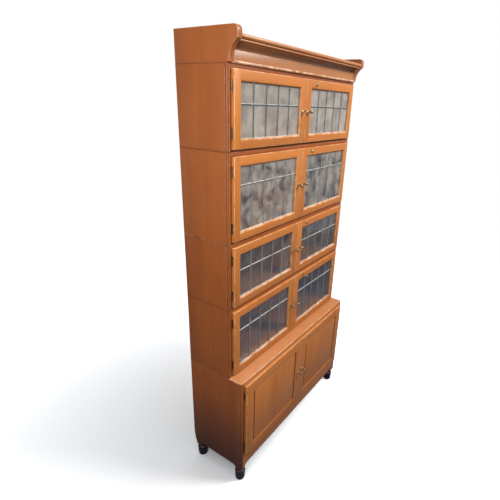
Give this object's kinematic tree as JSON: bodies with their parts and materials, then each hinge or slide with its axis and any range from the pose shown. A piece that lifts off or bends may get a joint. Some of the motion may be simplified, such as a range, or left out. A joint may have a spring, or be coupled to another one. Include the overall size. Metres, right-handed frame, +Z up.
{
  "type": "sectional bookcase",
  "caption": "Sectional stacking bookcase with pairs of hinged leaded-glass doors, a moulded cornice on brackets, and a deeper cupboard base on turned feet.",
  "frame": {"origin": "on the floor, at the middle of the whole object's width and depth", "axes": "+Z up, -Y towards a person opening the doors, +X towards the right-hand door"},
  "size_m": [0.89, 0.307, 1.74],
  "materials": {
    "case_wood": "satin varnish",
    "front_wood": "satin varnish",
    "door_wood": "satin varnish",
    "back_wood": "matte",
    "peg_wood": "matte",
    "foot_wood": "satin ebonised",
    "leaded_glass": "clear",
    "lead": "dull grey",
    "brass": "aged polish",
    "hinge_brass": "dark patina"
  },
  "bodies": {
    "root": {"cornice_brackets": "case_wood", "cornice_moulding": "front_wood", "cornice_boards": "front_wood", "section_1_sides": "case_wood", "section_2_sides": "case_wood", "section_3_sides": "case_wood", "section_4_sides": "case_wood", "section_top_boards": "case_wood", "section_bottom_boards": "case_wood", "back_panels": "back_wood", "section_pegs": "peg_wood", "case_fittings": "hinge_brass", "base_sides": "case_wood", "base_ledge": "front_wood", "base_deck": "case_wood", "base_front_rail": "case_wood", "feet": "foot_wood"},
    "section_1_left_door": {"section_1_left_frame": "door_wood", "section_1_left_glass": "leaded_glass", "section_1_left_cames": "lead", "section_1_left_fittings": "brass"},
    "section_1_right_door": {"section_1_right_frame": "door_wood", "section_1_right_glass": "leaded_glass", "section_1_right_cames": "lead", "section_1_right_fittings": "brass"},
    "section_2_left_door": {"section_2_left_frame": "door_wood", "section_2_left_glass": "leaded_glass", "section_2_left_cames": "lead", "section_2_left_fittings": "brass"},
    "section_2_right_door": {"section_2_right_frame": "door_wood", "section_2_right_glass": "leaded_glass", "section_2_right_cames": "lead", "section_2_right_fittings": "brass"},
    "section_3_left_door": {"section_3_left_frame": "door_wood", "section_3_left_glass": "leaded_glass", "section_3_left_cames": "lead", "section_3_left_fittings": "brass"},
    "section_3_right_door": {"section_3_right_frame": "door_wood", "section_3_right_glass": "leaded_glass", "section_3_right_cames": "lead", "section_3_right_fittings": "brass"},
    "section_4_left_door": {"section_4_left_frame": "door_wood", "section_4_left_glass": "leaded_glass", "section_4_left_cames": "lead", "section_4_left_fittings": "brass"},
    "section_4_right_door": {"section_4_right_frame": "door_wood", "section_4_right_glass": "leaded_glass", "section_4_right_cames": "lead", "section_4_right_fittings": "brass"},
    "base_left_door": {"base_left_frame": "door_wood", "base_left_panel": "door_wood", "base_left_fittings": "brass"},
    "base_right_door": {"base_right_frame": "door_wood", "base_right_panel": "door_wood", "base_right_fittings": "brass"},
    "section_1_lock_plug": {"section_1_lock": "brass"},
    "section_2_lock_plug": {"section_2_lock": "brass"},
    "section_3_lock_plug": {"section_3_lock": "brass"},
    "section_4_lock_plug": {"section_4_lock": "brass"},
    "base_lock_plug": {"base_lock": "brass"}
  },
  "joints": [
    {"name": "section_1_left_door_hinge", "type": "hinge", "parent": "root", "child": "section_1_left_door", "pos_m": [-0.42675, -0.0615, 1.496], "axis": [0, 0, -1], "range_deg": [0, 105]},
    {"name": "section_1_right_door_hinge", "type": "hinge", "parent": "root", "child": "section_1_right_door", "pos_m": [0.42675, -0.0615, 1.496], "axis": [0, 0, 1], "range_deg": [0, 105]},
    {"name": "section_2_left_door_hinge", "type": "hinge", "parent": "root", "child": "section_2_left_door", "pos_m": [-0.42675, -0.0615, 1.19], "axis": [0, 0, -1], "range_deg": [0, 105]},
    {"name": "section_2_right_door_hinge", "type": "hinge", "parent": "root", "child": "section_2_right_door", "pos_m": [0.42675, -0.0615, 1.19], "axis": [0, 0, 1], "range_deg": [0, 105]},
    {"name": "section_3_left_door_hinge", "type": "hinge", "parent": "root", "child": "section_3_left_door", "pos_m": [-0.42675, -0.0615, 0.936], "axis": [0, 0, -1], "range_deg": [0, 105]},
    {"name": "section_3_right_door_hinge", "type": "hinge", "parent": "root", "child": "section_3_right_door", "pos_m": [0.42675, -0.0615, 0.936], "axis": [0, 0, 1], "range_deg": [0, 105]},
    {"name": "section_4_left_door_hinge", "type": "hinge", "parent": "root", "child": "section_4_left_door", "pos_m": [-0.42675, -0.0615, 0.634], "axis": [0, 0, -1], "range_deg": [0, 105]},
    {"name": "section_4_right_door_hinge", "type": "hinge", "parent": "root", "child": "section_4_right_door", "pos_m": [0.42675, -0.0615, 0.634], "axis": [0, 0, 1], "range_deg": [0, 105]},
    {"name": "base_left_door_hinge", "type": "hinge", "parent": "root", "child": "base_left_door", "pos_m": [-0.42675, -0.1235, 0.248], "axis": [0, 0, -1], "range_deg": [0, 105]},
    {"name": "base_right_door_hinge", "type": "hinge", "parent": "root", "child": "base_right_door", "pos_m": [0.42675, -0.1235, 0.248], "axis": [0, 0, 1], "range_deg": [0, 105]},
    {"name": "section_1_lock_turn", "type": "hinge", "parent": "section_1_right_door", "child": "section_1_lock_plug", "pos_m": [0.076, -0.0695, 1.6178], "axis": [0, 1, 0], "range_deg": [0, 90]},
    {"name": "section_2_lock_turn", "type": "hinge", "parent": "section_2_right_door", "child": "section_2_lock_plug", "pos_m": [0.076, -0.0695, 1.3678], "axis": [0, 1, 0], "range_deg": [0, 90]},
    {"name": "section_3_lock_turn", "type": "hinge", "parent": "section_3_right_door", "child": "section_3_lock_plug", "pos_m": [0.076, -0.0695, 1.0618], "axis": [0, 1, 0], "range_deg": [0, 90]},
    {"name": "section_4_lock_turn", "type": "hinge", "parent": "section_4_right_door", "child": "section_4_lock_plug", "pos_m": [0.076, -0.0695, 0.8078], "axis": [0, 1, 0], "range_deg": [0, 90]},
    {"name": "base_lock_turn", "type": "hinge", "parent": "base_right_door", "child": "base_lock_plug", "pos_m": [0.076, -0.1315, 0.4998], "axis": [0, 1, 0], "range_deg": [0, 90]}
  ]
}
